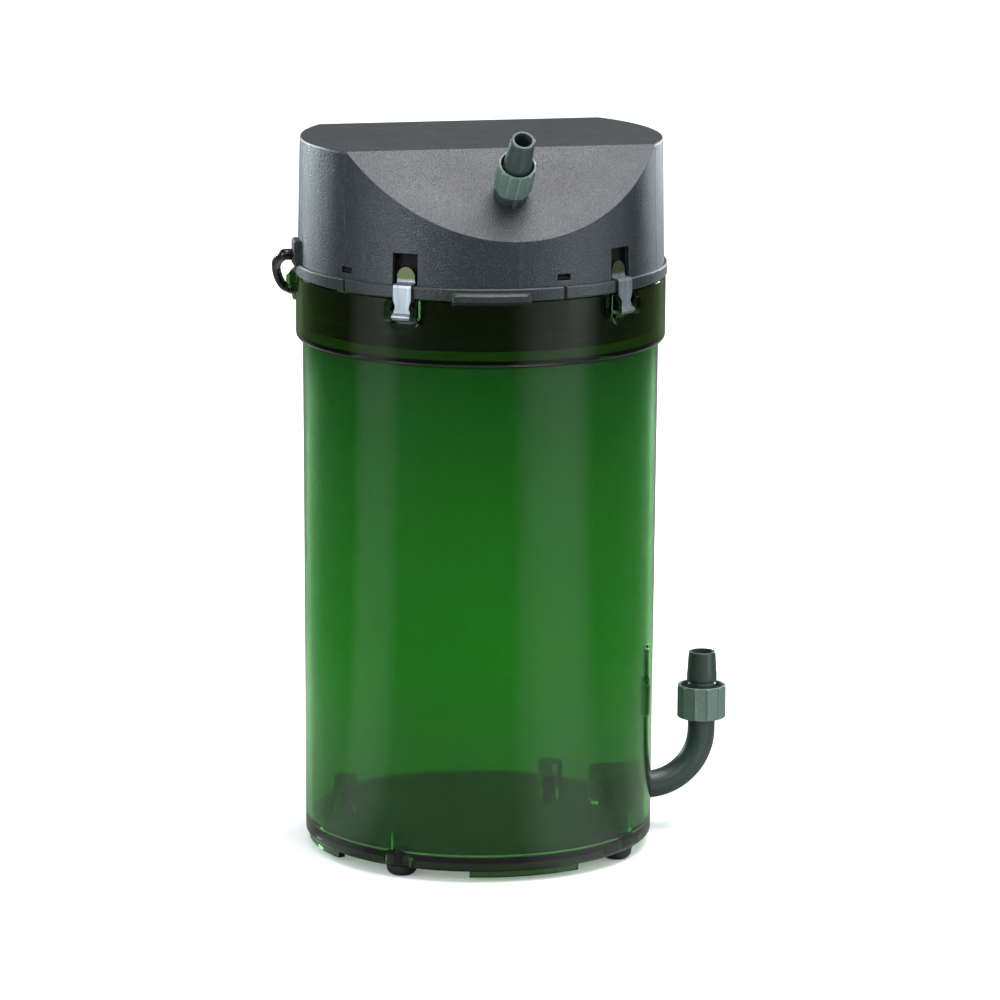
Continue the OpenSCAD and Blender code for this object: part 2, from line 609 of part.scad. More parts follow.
// side directions carried along the route without twist
function carried(t, i, s) = i >= len(t) ? [] :
    let (v = unit(s - (s*t[i])*t[i])) concat([v], carried(t, i + 1, v));

// a closed tube of n sides along the points p
module swept_tube(p, r, n, side) {
    t = tangents(p);
    s = carried(t, 0, side);
    rings = [for (i = [0:len(p) - 1]) let (u = cross(t[i], s[i]))
        for (k = [0:n - 1]) p[i] + r*(cos(360*k/n)*s[i] + sin(360*k/n)*u)];
    last = n*(len(p) - 1);
    polyhedron(rings, concat(
        [for (k = [1:n - 2]) [0, k, k + 1]],
        [for (k = [1:n - 2]) [last, last + k + 1, last + k]],
        [for (i = [0:len(p) - 2]) for (k = [0:n - 1]) for (h = [0, 1])
            let (a = n*i + k, b = n*i + (k + 1)%n)
            h == 0 ? [a, a + n, b] : [b, a + n, b + n]]));
}

module mains_lead() color([0.04, 0.04, 0.05])
    swept_tube(lead_route, cord_d/2, 10, [0, 0, 1]);

// flat coil of three layers, side by side: inward, outward and inward again
function coil_point(u) = let (e1 = coil_run, e2 = e1 + coil_hold, e3 = e2 + coil_run,
        e4 = e3 + coil_hold, a = coil_start + 360*u,
        r = u < e1 ? coil_r - coil_pitch*u : u < e2 ? coil_in : u < e3 ? coil_in + coil_pitch*(u - e2) :
            u < e4 ? coil_r : coil_r - coil_pitch*(u - e4),
        climb = min(max((u - e1)/coil_hold, 0), 1) + min(max((u - e3)/coil_hold, 0), 1))
    behind([r*cos(a), coil_y + coil_layer*climb, coil_z + r*sin(a)]);

// end of the lead, out of the coil and down to the plug
function tail_point(a, out) =
    behind([coil_in*cos(a), coil_y + 2*coil_layer + out, coil_z + coil_in*sin(a)]);

coil_route = concat([coil_end], [for (i = [0:floor(24*coil_turns)]) coil_point(i/24)],
    [tail_point(90, 0), tail_point(105, 0.8), tail_point(120, 2.8), tail_point(135, 5.5),
     tail_point(150, 8.3), tail_point(165, 10.2), behind([-coil_in, plug_y, coil_z + 1]),
     behind([-coil_in, plug_y, coil_z])]);

module lead_coil() color([0.04, 0.04, 0.05]) swept_tube(coil_route, cord_d/2, 6, [0, 0, 1]);

// least distance between the surfaces of different turns
coil_gap = min([for (i = [0:3:len(coil_route) - 14]) for (j = [i + 13:len(coil_route) - 1])
    norm(coil_route[i] - coil_route[j])]) - cord_d;
coil_length = sum_steps(coil_route);
lead_length = sum_steps(lead_route);
function sum_steps(p, i = 1) = i >= len(p) ? 0 : norm(p[i] - p[i - 1]) + sum_steps(p, i + 1);

// two-pin plug that hangs behind the coil with its pins down, in the plug's own frame
plug_t = 15.8;
module at_plug() rotate([0, 0, coil_a - 180]) translate([-coil_in, plug_y, coil_z])
    rotate([-90, 0, 0]) children();
module plug_body() color([0.05, 0.05, 0.06]) at_plug() difference() {
        translate([0, 0, -plug_t/2]) linear_extrude(plug_t) polygon([[-5, 0], [5, 0],
            [6.5, 6], [13, 14], [17.5, 24], [17.5, 33], [15.5, 35], [-15.5, 35], [-17.5, 33],
            [-17.5, 24], [-13, 14], [-6.5, 6]]);
        for (s = [-1, 1]) translate([s*9.3, 31, 0]) rotate([-90, 0, 0])
            cylinder(r = 2 + seat_gap, h = 6);
    }
module plug_pins() color([0.80, 0.80, 0.78]) at_plug()
    for (s = [-1, 1]) translate([s*9.3, 31.1, 0]) rotate([-90, 0, 0]) cylinder(r = 2, h = 22);

echo(coil_gap = coil_gap, coil_length = coil_length, lead_length = lead_length);

canister();
rubber_feet();
clip_pins();
head_base();
head_cover();
sealing_ring();
pump_chamber();
pump_cover();
cover_bush();
top_bush();
rotor_shaft();
rotor_magnet();
impeller();
stator_core();
stator_coils();
outlet_duct();
outlet_nozzle();
outlet_nut();
inlet_elbow();
inlet_rings();
inlet_nut();
clip(clip_angles[0]);  // clip_front_left
clip(clip_angles[1]);  // clip_front_right
clip(clip_angles[2]);  // clip_right
clip(clip_angles[3]);  // clip_rear
cord_gland();
mains_lead();
lead_coil();
plug_body();
plug_pins();
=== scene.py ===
import math

import bpy
import numpy as np
from mathutils import Matrix, Vector


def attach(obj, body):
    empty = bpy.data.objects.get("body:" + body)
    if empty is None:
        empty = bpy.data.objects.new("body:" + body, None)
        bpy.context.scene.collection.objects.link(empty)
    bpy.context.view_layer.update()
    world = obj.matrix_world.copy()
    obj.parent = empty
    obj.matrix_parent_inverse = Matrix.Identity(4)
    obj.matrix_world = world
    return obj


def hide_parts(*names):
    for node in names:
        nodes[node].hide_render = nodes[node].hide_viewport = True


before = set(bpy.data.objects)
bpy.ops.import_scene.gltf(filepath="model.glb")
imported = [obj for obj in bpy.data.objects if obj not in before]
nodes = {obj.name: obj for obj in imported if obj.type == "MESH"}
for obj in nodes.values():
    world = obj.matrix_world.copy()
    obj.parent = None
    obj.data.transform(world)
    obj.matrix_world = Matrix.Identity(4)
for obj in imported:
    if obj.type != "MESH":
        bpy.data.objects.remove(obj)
scene = bpy.context.scene
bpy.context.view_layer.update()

# camera: yaw, down and roll in degrees, the lens and sensor in millimetres
view = {"place": (-0.6431, -2.9533, 0.8234), "yaw": 12.5, "down": 11.751, "roll": 0.33, "lens": 199.15,
        "sensor": 36, "reach": 60}


def makeCamera(view):
    # the way ahead from yaw and down, the level way right of it, and both turned by roll about the way ahead
    yaw, down, roll = (math.radians(view[key]) for key in ("yaw", "down", "roll"))
    ahead = Vector((math.sin(yaw) * math.cos(down), math.cos(yaw) * math.cos(down), -math.sin(down)))
    level = Vector((math.cos(yaw), -math.sin(yaw), 0))
    upright = level.cross(ahead)
    right = level * math.cos(roll) + upright * math.sin(roll)
    up = upright * math.cos(roll) - level * math.sin(roll)
    data = bpy.data.cameras.new("camera")
    data.lens = view["lens"]
    data.sensor_width = view["sensor"]
    data.clip_end = view["reach"]
    camera = bpy.data.objects.new("camera", data)
    scene.collection.objects.link(camera)
    camera.matrix_world = Matrix((
        (right.x, up.x, -ahead.x, view["place"][0]),
        (right.y, up.y, -ahead.y, view["place"][1]),
        (right.z, up.z, -ahead.z, view["place"][2]),
        (0, 0, 0, 1)))
    scene.camera = camera


makeCamera(view)
print("camera placed")


def meshPiece(name, points, faces, smooth=True):
    # points is an array of corners, faces a list of corner numbers
    mesh = bpy.data.meshes.new(name)
    mesh.from_pydata(np.asarray(points, float).tolist(), [], faces)
    mesh.polygons.foreach_set("use_smooth", np.full(len(mesh.polygons), smooth))
    mesh.update()
    piece = bpy.data.objects.new(name, mesh)
    scene.collection.objects.link(piece)
    return piece


def gridFaces(rows, cols, wrapRows=False):
    # quads between neighbouring rows of a grid numbered row by row; each row closes on itself
    r = np.arange(rows if wrapRows else rows - 1)
    a, b = np.meshgrid(r, np.arange(cols), indexing="ij")
    a2, b2 = (a + 1) % rows, (b + 1) % cols
    return np.stack([a * cols + b, a * cols + b2, a2 * cols + b2, a2 * cols + b], -1).reshape(-1, 4).tolist()


def loft(name, rings, flip=False):
    # rings is an array rows x sides x 3; both ends are closed by a fan to their centre
    rows, sides, _ = rings.shape
    points = np.vstack([rings.reshape(-1, 3), rings[0].mean(0)[None], rings[-1].mean(0)[None]])
    faces = gridFaces(rows, sides)
    k = np.arange(sides)
    faces += np.stack([(k + 1) % sides, k, np.full(sides, rows * sides)], 1).tolist()
    last = (rows - 1) * sides
    faces += np.stack([last + k, last + (k + 1) % sides, np.full(sides, rows * sides + 1)], 1).tolist()
    return meshPiece(name, points, [face[::-1] for face in faces] if flip else faces)


def smoothRoute(points, steps):
    # Catmull-Rom curve: each point is half of 2b + (c-a)t + (2a-5b+4c-d)t^2 + (3b-a-3c+d)t^3
    p = np.asarray(points, float)
    a, b = np.vstack([p[:1], p[:-2]]), p[:-1]
    c, d = p[1:], np.vstack([p[2:], p[-1:]])
    t = (np.arange(steps) / steps)[None, :, None]
    a, b, c, d = (x[:, None, :] for x in (a, b, c, d))
    curve = 0.5 * (2 * b + (c - a) * t + (2 * a - 5 * b + 4 * c - d) * t**2 + (3 * b - a - 3 * c + d) * t**3)
    return np.vstack([curve.reshape(-1, 3), p[-1:]])


def runningLength(path):
    return np.concatenate([[0], np.cumsum(np.linalg.norm(np.diff(path, axis=0), axis=1))])


def alongRoute(path, at):
    # the path's points at the running lengths in at
    run = runningLength(path)
    return np.stack([np.interp(at, run, path[:, i]) for i in range(3)], 1)


def evenRoute(path, spacing):
    # the same line with its points a set distance apart
    total = runningLength(path)[-1]
    return alongRoute(path, np.linspace(0, total, int(round(total / spacing)) + 1))


def routeFrames(path):
    # unit tangent, and two unit directions across it, the first carried along from straight up
    tangent = np.gradient(path, axis=0)
    tangent /= np.linalg.norm(tangent, axis=1)[:, None]
    across = np.empty_like(tangent)
    last = np.array([0.0, 0.0, 1.0])
    for i, way in enumerate(tangent):
        last = last - way * (last @ way)
        last = last / np.linalg.norm(last)
        across[i] = last
    return across, np.cross(tangent, across)


def closedTube(name, path, radius, sides):
    # ring of radius r(i) round each point of the path: p + r(cos a * across + sin a * other)
    across, other = (way[:, None, :] for way in routeFrames(path))
    a = (np.arange(sides) * 2 * np.pi / sides)[None, :, None]
    r = np.broadcast_to(np.asarray(radius, float), (len(path),))[:, None, None]
    return loft(name, path[:, None, :] + r * (np.cos(a) * across + np.sin(a) * other))


# mains lead, in metres; polar is its route from the gland round the back, as distance from the axis, angle from
# the front and height, in millimetres and degrees
lead = {
    "diameter": 0.005, "sides": 16, "spacing": 0.0022, "steps": 12,
    "polar": [(104.73, -96.19, 334.6), (106.08, -96.16, 334.6), (109.07, -96.1, 334.6), (112.3, -100.8, 329.8),
              (113.4, -104.2, 325), (113, -107.6, 318.8), (111.2, -110.8, 312.8), (108.7, -115.5, 309),
              (106.8, -122, 305.2), (106.1, -130, 301.4), (105.8, -142, 298.4), (105.7, -154, 296.6),
              (105.7, -166, 294.2), (105.5, -174, 292), (105.5, -182, 289.6), (105.7, -190, 286.8),
              (107.1, -197.5, 283)],
}
# coil, in millimetres and degrees: three flat layers behind the head; leadIn is how far before the first turn
# the route already runs along the line of its first steps, and the tail leaves the last turn for the plug
coil = {"side": 144, "out": 105.9, "height": 311, "radius": 38, "pitch": 5.8, "layer": 5.6, "hold": 0.3,
        "start": 250, "turns": 8.5556, "steps": 48, "leadIn": (10, 5), "firstSteps": 6,
        "tailAngles": (90, 105, 120, 135, 150, 165), "tailOut": (0, 0.8, 2.8, 5.5, 8.3, 10.2), "tailSteps": 5,
        "plugOut": 127.8}
coil["run"] = (coil["turns"] - 2 * coil["hold"]) / 3
coil["inner"] = coil["radius"] - coil["pitch"] * coil["run"]


def behind(points):
    # turns points drawn for a coil straight behind the head to the side that it hangs at
    t = math.radians(coil["side"] - 180)
    x, y, z = np.moveaxis(np.asarray(points, float), -1, 0)
    return np.stack([x * math.cos(t) - y * math.sin(t), x * math.sin(t) + y * math.cos(t), z], -1)


def coilTurns(coil):
    # the radius shrinks, grows and shrinks by one pitch a turn, and holds while the lead climbs a layer
    u = np.linspace(0, coil["turns"], int(coil["steps"] * coil["turns"]))
    run, hold, big, small = coil["run"], coil["hold"], coil["radius"], coil["inner"]
    marks = [0, run, run + hold, 2 * run + hold, 2 * run + 2 * hold, coil["turns"]]
    radius = np.interp(u, marks, [big, small, small, big, big, small])
    climb = np.interp(u, marks, [0, 0, 1, 1, 2, 2])
    angle = np.radians(coil["start"] + 360 * u)
    return np.stack([radius * np.cos(angle), coil["out"] + coil["layer"] * climb,
                     coil["height"] + radius * np.sin(angle)], 1)


def coilTail(coil):
    # goes on round the inner radius while it moves out, and ends straight above the plug
    small, height = coil["inner"], coil["height"]
    a = np.radians(coil["tailAngles"])
    bend = np.stack([small * np.cos(a), coil["out"] + 2 * coil["layer"] + np.array(coil["tailOut"]),
                     height + small * np.sin(a)], 1)
    ends = [(-small, coil["plugOut"], height + 1), (-small, coil["plugOut"], height)]
    return smoothRoute(np.vstack([bend, ends]), coil["tailSteps"])


def leadRoute(lead, coil):
    free = [(r * math.sin(math.radians(a)), -r * math.cos(math.radians(a)), z) for r, a, z in lead["polar"]]
    turns = coilTurns(coil)
    way = turns[coil["firstSteps"]] - turns[0]
    way /= np.linalg.norm(way)
    free += behind([turns[0] - before * way for before in coil["leadIn"]]).tolist()
    route = np.vstack([smoothRoute(free, lead["steps"]), behind(turns), behind(coilTail(coil))])
    return evenRoute(route / 1000, lead["spacing"])


leadPath = leadRoute(lead, coil)
mainsLead = closedTube("flexLead", leadPath, lead["diameter"] / 2, lead["sides"])

# bend relief: a slim tapered sleeve round the first stretch of the lead, rounded over its last millimetre
boot = {"length": 0.021, "start": 0.0032, "end": 0.0027, "round": 0.001, "roundBy": 0.00015, "rings": 41,
        "sides": 24}


def makeBoot(boot):
    # radius falls evenly from start to end, less a square of the way into the rounded stretch
    s = np.linspace(0, boot["length"], boot["rings"])
    radius = boot["start"] + (boot["end"] - boot["start"]) * s / boot["length"]
    radius -= boot["roundBy"] * np.clip((s - boot["length"] + boot["round"]) / boot["round"], 0, 1) ** 2
    return closedTube("bendRelief", alongRoute(leadPath, s), radius, boot["sides"])


bendRelief = makeBoot(boot)

# tie round the coil: a flat band bent round the turns' section near its top
tie = {"angle": 78, "width": 0.009, "thick": 0.0007, "inside": 0.0193, "outside": 0.0413, "near": 0.10265,
       "far": 0.1204, "corner": 0.0038, "cornerPoints": 9}


def makeTie(tie):
    # rounded rectangle: a quarter circle c(cos q, sin q) round each corner's centre, in the plane of the coil's
    # radius r and the distance y behind the axis, swept across the band's width
    r0, r1, y0, y1, c = tie["inside"], tie["outside"], tie["near"], tie["far"], tie["corner"]
    centres = [(r1 - c, y1 - c), (r0 + c, y1 - c), (r0 + c, y0 + c), (r1 - c, y0 + c)]
    centre = np.repeat(centres, tie["cornerPoints"], axis=0)
    quarter = np.linspace(0, np.pi / 2, tie["cornerPoints"])
    q = np.concatenate([quarter + k * np.pi / 2 for k in range(4)])
    turn = math.radians(tie["angle"])
    along = np.array([math.cos(turn), 0, math.sin(turn)])
    across = np.array([-math.sin(turn), 0, math.cos(turn)])
    back, height = np.array([0, 1, 0]), np.array([0, 0, coil["height"] / 1000])

    def loop(grow, w):
        r, y = (centre + (c + grow) * np.stack([np.cos(q), np.sin(q)], 1)).T[:, :, None]
        return along * r + back * y + across * w + height
    half, thick = tie["width"] / 2, tie["thick"]
    rings = np.array([loop(0, -half), loop(0, half), loop(-thick, half), loop(-thick, -half)])
    rows, sides, _ = rings.shape
    faces = gridFaces(rows, sides, wrapRows=True)
    return meshPiece("coilTie", behind(rings.reshape(-1, 3)), faces, smooth=False)


coilTie = makeTie(tie)

# plug, in millimetres: each station is the distance from the lead's end, half the width and half the thickness,
# down to the pins' face, and powers rise from a round section to a flat one
plug = {
    "stations": [(0, 3.6, 3.6), (2, 4.2, 4.2), (6, 5.2, 4.8), (11, 9.2, 6.2), (17, 14.4, 7.3), (24, 17.1, 7.85),
                 (30, 17.5, 7.9), (33.4, 17.2, 7.6), (34.6, 16.2, 6.8), (35, 15.2, 6.0)],
    "steps": 5, "sides": 40, "powerAt": (0, 8, 20), "powers": (2, 2.2, 3.2),
    "ribDepth": 0.35, "ribSpacing": 1.8, "ribsTo": 8.5,
}


def makePlug(plug):
    # section: |x/w|^p + |y/h|^p = 1, with w and h read from the stations by a smooth curve
    down, wide, high = smoothRoute(plug["stations"], plug["steps"]).T[:, :, None]
    ribs = plug["ribDepth"] * np.clip(np.cos(down / plug["ribSpacing"] * 2 * np.pi), 0, 1)
    ribs = ribs * (down < plug["ribsTo"])
    a = np.linspace(0, 2 * np.pi, plug["sides"], endpoint=False)
    power = 2 / np.interp(down, plug["powerAt"], plug["powers"])
    x = (wide - ribs) * np.sign(np.cos(a)) * np.abs(np.cos(a)) ** power
    y = (high - ribs) * np.sign(np.sin(a)) * np.abs(np.sin(a)) ** power
    z = np.broadcast_to(coil["height"] - down, x.shape)
    rings = np.stack([x - coil["inner"], y + coil["plugOut"], z], -1)
    return loft("plugShell", behind(rings) / 1000, flip=True)


plugShell = makePlug(plug)
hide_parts("mains_lead", "lead_coil")
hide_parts("plug_body")
for piece in (mainsLead, bendRelief, coilTie, plugShell):
    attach(piece, "filter")
print("lead, relief, tie and plug made")


def add(tree, kind, *links, **values):
    # new node; links are (socket number or name, source socket or value), and values set its properties
    node = tree.nodes.new("ShaderNode" + kind)
    for key, value in values.items():
        setattr(node, key, value)
    for key, value in links:
        if isinstance(value, bpy.types.NodeSocket):
            tree.links.new(value, node.inputs[key])
        else:
            node.inputs[key].default_value = value
    return node


def calc(tree, operation, a, b=0.0):
    return add(tree, "Math", (0, a), (1, b), operation=operation).outputs[0]


def ramp(tree, value, low, high, outLow=0.0, outHigh=1.0, **values):
    # outLow at low, outHigh at high, straight between them and held beyond
    return add(tree, "MapRange", ("Value", value), ("From Min", low), ("From Max", high),
               ("To Min", outLow), ("To Max", outHigh), **values).outputs["Result"]


def smoothStep(tree, value, low, high, outLow, outHigh):
    return ramp(tree, value, low, high, outLow, outHigh, interpolation_type="SMOOTHSTEP")


def lengthOf(tree, vector):
    return add(tree, "VectorMath", (0, vector), operation="LENGTH").outputs["Value"]


def cosineOf(tree, a, b):
    # dot product of two unit directions
    return add(tree, "VectorMath", (0, a), (1, b), operation="DOT_PRODUCT").outputs["Value"]


def mixLevel(tree, factor, a, b):
    # numbers sit on the Mix node's third and fourth sockets, colours on its seventh and eighth
    return add(tree, "Mix", (0, factor), (2, a), (3, b)).outputs[0]


def mixColour(tree, factor, a, b):
    return add(tree, "Mix", (0, factor), (6, a), (7, b), data_type="RGBA").outputs[2]


def linear(r, g, b, share=1.0):
    # 8-bit screen colour to the linear values that shaders use, times a share
    levels = (((c / 255 + 0.055) / 1.055) ** 2.4 if c > 10 else c / 255 / 12.92 for c in (r, g, b))
    return tuple(share * level for level in levels) + (1.0,)


# floor and surround: their level for rays seen directly or through the clear plastic, for mirrored rays and for
# soft light; the floor's own glow, for the rays seen directly, rises from near to far, and mirrored rays find
# pale paper on it, full within paperTo of the middle and gone at paperFrom
stage = {"size": 30, "seen": 0.8, "mirrored": 0.03, "soft": 0.5, "near": 0.22, "far": 0.85, "from": 0.16,
         "to": 0.6, "paper": 0.2, "paperFrom": 0.65, "paperTo": 0.2, "rough": 0.9, "gloss": 0.1}
surround = {"seen": 1.0, "mirrored": 0.08, "soft": 0.4}
# what mirrored rays find round the dim room, each towards a level direction: a pale backdrop behind the object
# and two paper panels; gain is added where the direction's cosine goes from low to high
panels = {
    "backdrop": {"towards": (0.213, 0.977, 0), "low": 0.45, "high": 1.1, "gain": 0.14},
    "right": {"towards": (0.584, -0.812, 0), "low": 0.86, "high": 1.02, "gain": 0.4},
    "left": {"towards": (-0.989, -0.151, 0), "low": 0.94, "high": 1.005, "gain": 0.3},
}


def roomLevel(tree, towards, level):
    # level plus each panel's gain times a smooth step of the cosine between towards and the panel's direction
    unit = add(tree, "VectorMath", (0, towards), operation="NORMALIZE").outputs[0]
    for panel in panels.values():
        cosine = cosineOf(tree, unit, panel["towards"])
        gain = smoothStep(tree, cosine, panel["low"], panel["high"], 0.0, panel["gain"])
        level = calc(tree, "ADD", level, gain)
    return level


def byRay(tree, values, output):
    # the soft level, the room's for mirrored rays, and the seen level for direct rays and those through plastic
    path = add(tree, "LightPath").outputs
    seen = calc(tree, "MAXIMUM", path["Is Camera Ray"], path["Is Transmission Ray"])
    place = add(tree, "TexCoord").outputs[output]
    room = values["mirrored"]
    if "paper" in values:
        room = smoothStep(tree, lengthOf(tree, place), values["paperTo"], values["paperFrom"],
                          room + values["paper"], room)
    level = mixLevel(tree, path["Is Glossy Ray"], values["soft"], roomLevel(tree, place, room))
    return mixLevel(tree, seen, level, values["seen"]), seen, place


def makeFloor(stage):
    s = stage["size"]
    floor = meshPiece("floor", [(-s, -s, 0), (s, -s, 0), (s, s, 0), (-s, s, 0)], [(0, 1, 2, 3)], smooth=False)
    material = bpy.data.materials.new("paleFloor")
    material.use_nodes = True
    tree = material.node_tree
    shader = tree.nodes["Principled BSDF"]
    shader.inputs["Roughness"].default_value = stage["rough"]
    shader.inputs["Specular IOR Level"].default_value = stage["gloss"]
    shader.inputs["Emission Color"].default_value = (1, 1, 1, 1)
    colour, seen, place = byRay(tree, stage, "Object")
    glow = smoothStep(tree, lengthOf(tree, place), stage["from"], stage["to"], stage["near"], stage["far"])
    tree.links.new(colour, shader.inputs["Base Color"])
    tree.links.new(calc(tree, "MULTIPLY", seen, glow), shader.inputs["Emission Strength"])
    floor.data.materials.append(material)


def makeSurround(surround):
    world = bpy.data.worlds.new("paleSurround")
    scene.world = world
    world.use_nodes = True
    background = world.node_tree.nodes["Background"]
    background.inputs["Color"].default_value = (1, 1, 1, 1)
    world.node_tree.links.new(byRay(world.node_tree, surround, "Generated")[0], background.inputs["Strength"])


makeFloor(stage)
makeSurround(surround)

# soft boxes: place and aim in metres, width and height, power in watts
lamps = {
    "overhead": {"at": (0.35, -0.35, 2.4), "to": (0.05, -0.1, 0.3), "size": (1.8, 1.6), "power": 66,
                 "tint": (1, 0.96, 1)},
    "left": {"at": (-1.98, -1.05, 0.7), "to": (0, 0, 0.3), "size": (0.8, 1.4), "power": 26,
             "tint": (0.85, 0.94, 1)},
    "right": {"at": (1.8, -1.26, 0.7), "to": (0, 0, 0.3), "size": (0.8, 1.4), "power": 20,
              "tint": (0.85, 0.94, 1)},
    "front": {"at": (-0.9, -3.2, 2.2), "to": (0, 0, 0.2), "size": (2.0, 1.4), "power": 22, "tint": (1, 1, 1)},
    "rimLeft": {"at": (-0.775, 1.284, 0.56), "to": (0, 0, 0.38), "size": (0.22, 0.7), "power": 14,
                "tint": (0.85, 0.94, 1)},
    "rimRight": {"at": (1.084, 1.036, 0.56), "to": (0, 0, 0.38), "size": (0.22, 0.7), "power": 12,
                 "tint": (0.85, 0.94, 1)},
}


def makeLamp(name, lamp):
    data = bpy.data.lights.new(name, "AREA")
    data.shape = "RECTANGLE"
    data.energy = lamp["power"]
    data.size, data.size_y = lamp["size"]
    data.color = lamp["tint"]
    light = bpy.data.objects.new(name, data)
    scene.collection.objects.link(light)
    light.location = lamp["at"]
    light.rotation_euler = (Vector(lamp["to"]) - Vector(lamp["at"])).to_track_quat("-Z", "Y").to_euler()


for name, lamp in lamps.items():
    makeLamp(name, lamp)
scene.view_settings.view_transform = "Standard"
print("stage lit")


def newGroup(name, inputs, outputs):
    # inputs are names with their usual values; every output but the normal is one number
    group = bpy.data.node_groups.new(name, "ShaderNodeTree")
    for label, value in inputs.items():
        socket = group.interface.new_socket(label, in_out="INPUT", socket_type="NodeSocketFloat")
        socket.default_value = value
    for label in outputs:
        kind = "NodeSocketVector" if label == "Normal" else "NodeSocketFloat"
        group.interface.new_socket(label, in_out="OUTPUT", socket_type=kind)
    return group, group.nodes.new("NodeGroupInput").outputs, group.nodes.new("NodeGroupOutput").inputs


def objectPlace(tree):
    return add(tree, "TexCoord").outputs["Object"]


def heightOf(tree):
    return add(tree, "SeparateXYZ", (0, objectPlace(tree))).outputs["Z"]


def stretched(tree, scale, turn=(0, 0, 0)):
    # the object's coordinates, scaled each way and then turned
    return add(tree, "Mapping", ("Vector", objectPlace(tree)), ("Rotation", turn), ("Scale", scale)).outputs[0]


def fromAxis(tree):
    # distance from the upright axis: the length of the position with its height taken out
    return lengthOf(tree, stretched(tree, (1, 1, 0)))


def noise(tree, place, scale, detail, roughness=0.5):
    return add(tree, "TexNoise", ("Vector", place), ("Scale", scale), ("Detail", detail),
               ("Roughness", roughness)).outputs["Fac"]


# moulding grain and painted glints: a cell takes a painted glint where its own random number is under the
# group's share, more and more from the first distance of the glint specks to the second, nearer its middle;
# cloud is the count in a metre of the slow mingling
grain = {"detail": 2.0, "paintedGlints": (0.5, 0.15), "cloud": 14.0, "cloudDetail": 4.0, "cloudRoughness": 0.6}
# corners: mask is the cosine between the rounded and the flat normal, where it starts and where it's full; the
# mask places a painted highlight on the edges
corner = {"samples": 6, "mask": (0.98, 0.8)}
# handling: rubbed patches, and hairlines drawn out in two directions by turn and count in a metre
touch = {"detail": 5.0, "roughness": 0.65, "rub": (0.42, 0.7), "hairlines": (0.68, 0.78),
         "drawn": [((0.3, 0.2, 0.5), (900, 30, 60)), ((1.1, 0.7, 2.0), (50, 1100, 30))]}
# dust: a film of blotches on what faces up at least as far as the first value of slope
film = {"count": 60.0, "detail": 6.0, "roughness": 0.75, "slope": (0.5, 1.0), "blotches": (0.35, 0.75),
        "tone": (196, 192, 184), "dulls": 0.4}


def grainGroup(grain):
    # fine noise for the height, painted glints as bright specks from a few cells of a cell pattern, and a slow
    # cloud
    group, given, out = newGroup("grainAndPaintedGlints", {"Scale": 1400.0, "Share": 0.1}, ("Height", "PaintedGlints", "Cloud"))
    place = objectPlace(group)
    cells = add(group, "TexVoronoi", ("Vector", place), ("Scale", given["Scale"])).outputs
    pick = add(group, "SeparateColor", (0, cells["Color"])).outputs[0]
    chosen = calc(group, "LESS_THAN", pick, given["Share"])
    # painted glints: the chosen cells are mixed toward a brightened colour as specks of highlight
    paintedGlints = calc(group, "MULTIPLY", chosen, ramp(group, cells["Distance"], *grain["paintedGlints"]))
    cloud = noise(group, place, grain["cloud"], grain["cloudDetail"], grain["cloudRoughness"])
    group.links.new(noise(group, place, given["Scale"], grain["detail"]), out["Height"])
    group.links.new(paintedGlints, out["PaintedGlints"])
    group.links.new(cloud, out["Cloud"])
    return group


def edgeGroup(corner):
    # rounded corners for the light, and a mask of where the rounded normal leaves the flat one, which places the
    # painted edge highlight
    group, given, out = newGroup("softEdge", {"Radius": 0.0006}, ("Normal", "Edge"))
    rounded = add(group, "Bevel", ("Radius", given["Radius"]), samples=corner["samples"]).outputs["Normal"]
    flat = add(group, "NewGeometry").outputs["Normal"]
    group.links.new(rounded, out["Normal"])
    group.links.new(ramp(group, cosineOf(group, rounded, flat), *corner["mask"]), out["Edge"])
    return group


def handlingGroup(touch):
    # faint rubbed patches and hairline scratches
    group, given, out = newGroup("handling", {"Scale": 30.0}, ("Rub", "Hairlines"))
    rub = noise(group, objectPlace(group), given["Scale"], touch["detail"], touch["roughness"])
    lines = [ramp(group, noise(group, stretched(group, count, turn), 1.0, 1.0), *touch["hairlines"])
             for turn, count in touch["drawn"]]
    group.links.new(ramp(group, rub, *touch["rub"]), out["Rub"])
    group.links.new(calc(group, "MAXIMUM", *lines), out["Hairlines"])
    return group


def dustGroup(film):
    # dust settles where the surface faces up: the normal's height times the blotches
    group, given, out = newGroup("settledDust", {"Amount": 0.3}, ("Dust",))
    up = add(group, "SeparateXYZ", (0, add(group, "NewGeometry").outputs["Normal"])).outputs["Z"]
    blotches = noise(group, objectPlace(group), film["count"], film["detail"], film["roughness"])
    mask = calc(group, "MULTIPLY", ramp(group, up, *film["slope"]), ramp(group, blotches, *film["blotches"]))
    group.links.new(calc(group, "MULTIPLY", mask, given["Amount"]), out["Dust"])
    return group


def strandGroup():
    # strands or sheets stacked upwards: a sine of the height times their count in a metre
    group, given, out = newGroup("strands", {"Count": 800.0}, ("Crown",))
    turns = calc(group, "MULTIPLY", heightOf(group), given["Count"])
    wave = calc(group, "SINE", calc(group, "MULTIPLY", turns, 2 * math.pi))
    group.links.new(ramp(group, wave, -1.0, 1.0), out["Crown"])
    return group


groups = {"grain": grainGroup(grain), "edge": edgeGroup(corner), "handling": handlingGroup(touch),
          "dust": dustGroup(film), "strands": strandGroup()}


def useGroup(tree, key, **values):
    return add(tree, "Group", *values.items(), node_tree=groups[key]).outputs


def newMaterial(name, **sockets):
    material = bpy.data.materials.new(name)
    material.use_nodes = True
    shader = material.node_tree.nodes["Principled BSDF"]
    for label, value in sockets.items():
        shader.inputs[label.replace("_", " ")].default_value = value
    return material, material.node_tree, shader


